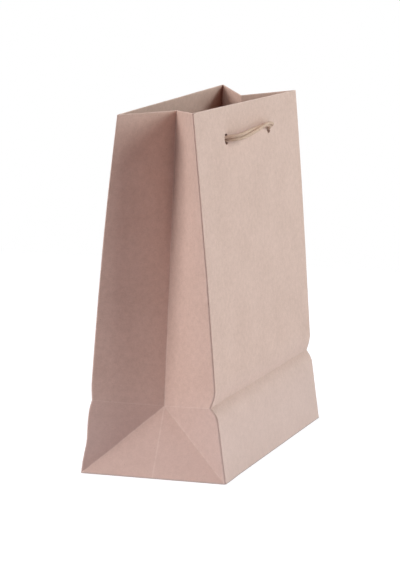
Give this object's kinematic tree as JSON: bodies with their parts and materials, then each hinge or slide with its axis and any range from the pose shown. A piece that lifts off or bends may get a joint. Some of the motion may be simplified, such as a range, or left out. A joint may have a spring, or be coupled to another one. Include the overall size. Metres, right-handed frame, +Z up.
{
  "type": "paper carrier bag",
  "caption": "Upright kraft paper carrier bag with folded side gussets, a block bottom, a turned-in top edge and a cord handle through punched holes.",
  "frame": {"origin": "middle of the base, on the surface the bag stands on", "axes": "+Z up, +X along the broad panels, the front panel faces -Y"},
  "size_m": [0.22, 0.1, 0.2388],
  "materials": {
    "kraft_paper": "matte",
    "twisted_cord": "matte"
  },
  "bodies": {
    "root": {"paper_body": "kraft_paper", "front_handle_cord": "twisted_cord"}
  },
  "joints": []
}
